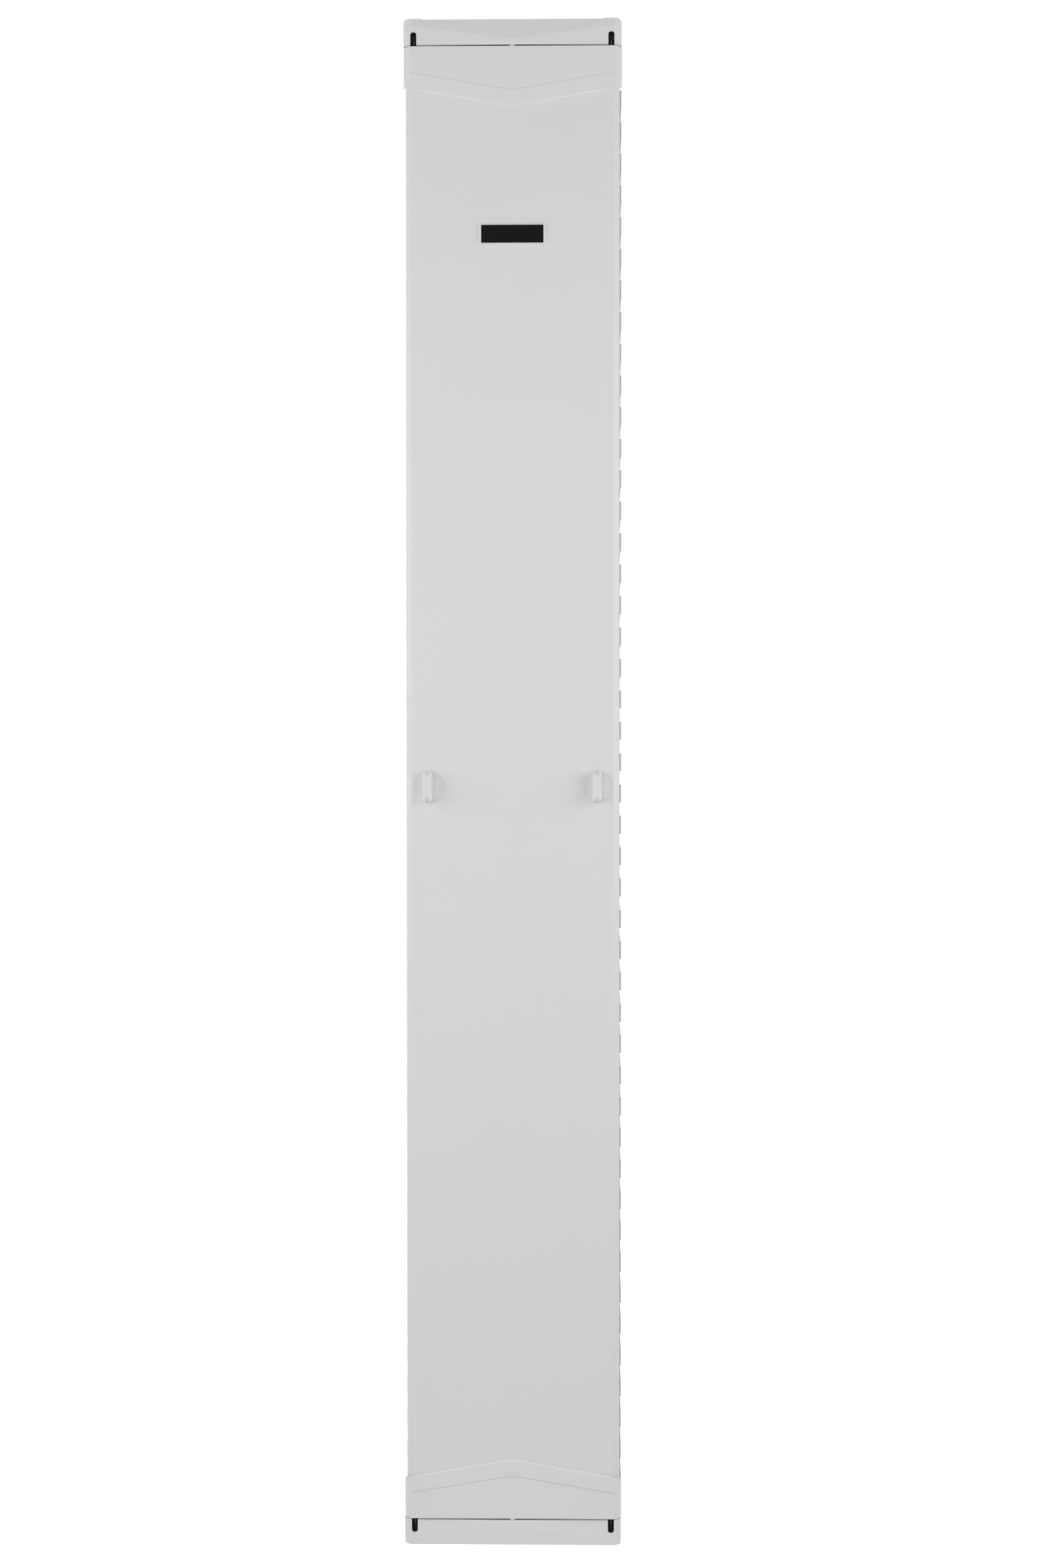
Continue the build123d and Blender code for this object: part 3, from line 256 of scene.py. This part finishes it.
# Every node gets the finish of its slot, and most get softened edges
finishes = {
    "grey_paint": powder_coat("grey_powder_coat"),
    "grey_moulding": moulding("grey_moulded_plastic", MOULDING_GREY, MOULDING_ROUGHNESS, MOULDING_GRAIN),
    "knob_moulding": moulding("knob_plastic", KNOB_GREY, KNOB_ROUGHNESS, KNOB_GRAIN),
    "black_moulding": moulding("dark_moulded_plastic", DARK_MOULDING_GREY, DARK_MOULDING_ROUGHNESS,
                               MOULDING_GRAIN),
    "black_rod": black_coat("blackened_rod"),
    "zinc_steel": zinc_plate("zinc_plating"),
    "badge_black": badge_face("blank_badge_face"),
}
for part in frame["record"]["subparts"]:
    slot = part["material_slot"]
    piece = nodes[part["node"]]
    piece.data.materials.clear()
    piece.data.materials.append(finishes[slot])
    if slot in EDGE_WIDTHS:
        soften(piece, EDGE_WIDTHS[slot])


# Studio
def seen_ray(tree):
    """One for a ray of any of the seen kinds, nought for the others."""
    path = tree.nodes.new("ShaderNodeLightPath")
    total = path.outputs[SEEN_RAYS[0]]
    for kind in SEEN_RAYS[1:]:
        either = tree.nodes.new("ShaderNodeMath")
        either.operation = "MAXIMUM"
        tree.links.new(total, either.inputs[0])
        tree.links.new(path.outputs[kind], either.inputs[1])
        total = either.outputs["Value"]
    return total


def floor():
    """A pale floor that takes the part's shadow and is lifted towards white where it is seen."""
    mesh = bpy.data.meshes.new("studio_floor")
    half = FLOOR_HALF
    corners = [(-half, -half, 0.0), (half, -half, 0.0), (half, half, 0.0), (-half, half, 0.0)]
    mesh.from_pydata(corners, [], [(0, 1, 2, 3)])
    piece = bpy.data.objects.new("studio_floor", mesh)
    scene.collection.objects.link(piece)
    material, tree, shader = new_material("studio_floor_white")
    shader.inputs["Base Color"].default_value = (FLOOR_GREY, FLOOR_GREY, FLOOR_GREY, 1.0)
    shader.inputs["Roughness"].default_value = FLOOR_ROUGHNESS
    shader.inputs["Specular IOR Level"].default_value = FLOOR_SPECULAR
    shader.inputs["Emission Color"].default_value = WHITE
    lift = tree.nodes.new("ShaderNodeMath")
    lift.operation = "MULTIPLY"
    lift.inputs[1].default_value = FLOOR_LIFT
    tree.links.new(seen_ray(tree), lift.inputs[0])
    tree.links.new(lift.outputs["Value"], shader.inputs["Emission Strength"])
    mesh.materials.append(material)


def world():
    """White where the camera or a reflection sees it, and a soft fill, weaker from above, elsewhere."""
    sky = bpy.data.worlds.new("studio_white")
    scene.world = sky
    sky.use_nodes = True
    tree = sky.node_tree
    background = tree.nodes["Background"]
    background.inputs["Color"].default_value = WHITE
    direction = tree.nodes.new("ShaderNodeTexCoord")
    split = tree.nodes.new("ShaderNodeSeparateXYZ")
    fill = tree.nodes.new("ShaderNodeMapRange")
    fill.inputs["To Min"].default_value = WORLD_FILL
    fill.inputs["To Max"].default_value = WORLD_FILL * OVERHEAD_SHARE
    tree.links.new(direction.outputs["Generated"], split.inputs["Vector"])
    tree.links.new(split.outputs["Z"], fill.inputs["Value"])
    strength = tree.nodes.new("ShaderNodeMapRange")
    strength.inputs["To Max"].default_value = 1.0
    tree.links.new(fill.outputs["Result"], strength.inputs["To Min"])
    tree.links.new(seen_ray(tree), strength.inputs["Value"])
    tree.links.new(strength.outputs["Result"], background.inputs["Strength"])


def turn_to(place, aim):
    """Turn of a lamp or camera that looks from a place at an aim."""
    return (Vector(aim) - Vector(place)).to_track_quat("-Z", "Y").to_euler()


def softbox(name, place, size, power):
    data = bpy.data.lights.new(name, "AREA")
    data.shape = "RECTANGLE"
    data.size, data.size_y = size
    data.energy = power
    lamp = bpy.data.objects.new(name, data)
    scene.collection.objects.link(lamp)
    lamp.location = place
    lamp.rotation_euler = turn_to(place, LIGHT_AIM)


def camera():
    data = bpy.data.cameras.new("camera")
    data.lens = LENS_MM
    data.sensor_width = SENSOR_MM
    data.sensor_fit = "AUTO"
    data.shift_x = LENS_SHIFT_SIDE
    data.shift_y = LENS_SHIFT_UP
    data.clip_end = CAMERA_CLIP_END
    eye = bpy.data.objects.new("camera", data)
    scene.collection.objects.link(eye)
    eye.location = (CAMERA_SIDE, front_y - CAMERA_DISTANCE, CAMERA_HEIGHT)
    eye.rotation_euler = turn_to(eye.location, (AIM_SIDE, front_y, AIM_HEIGHT))
    scene.camera = eye


floor()
world()
softbox("front_key", KEY_PLACE, KEY_SIZE, KEY_POWER)
softbox("left_side", LEFT_LIGHT_PLACE, SIDE_LIGHT_SIZE, LEFT_LIGHT_POWER)
softbox("right_side", RIGHT_LIGHT_PLACE, SIDE_LIGHT_SIZE, RIGHT_LIGHT_POWER)
camera()
scene.view_settings.view_transform = "Standard"
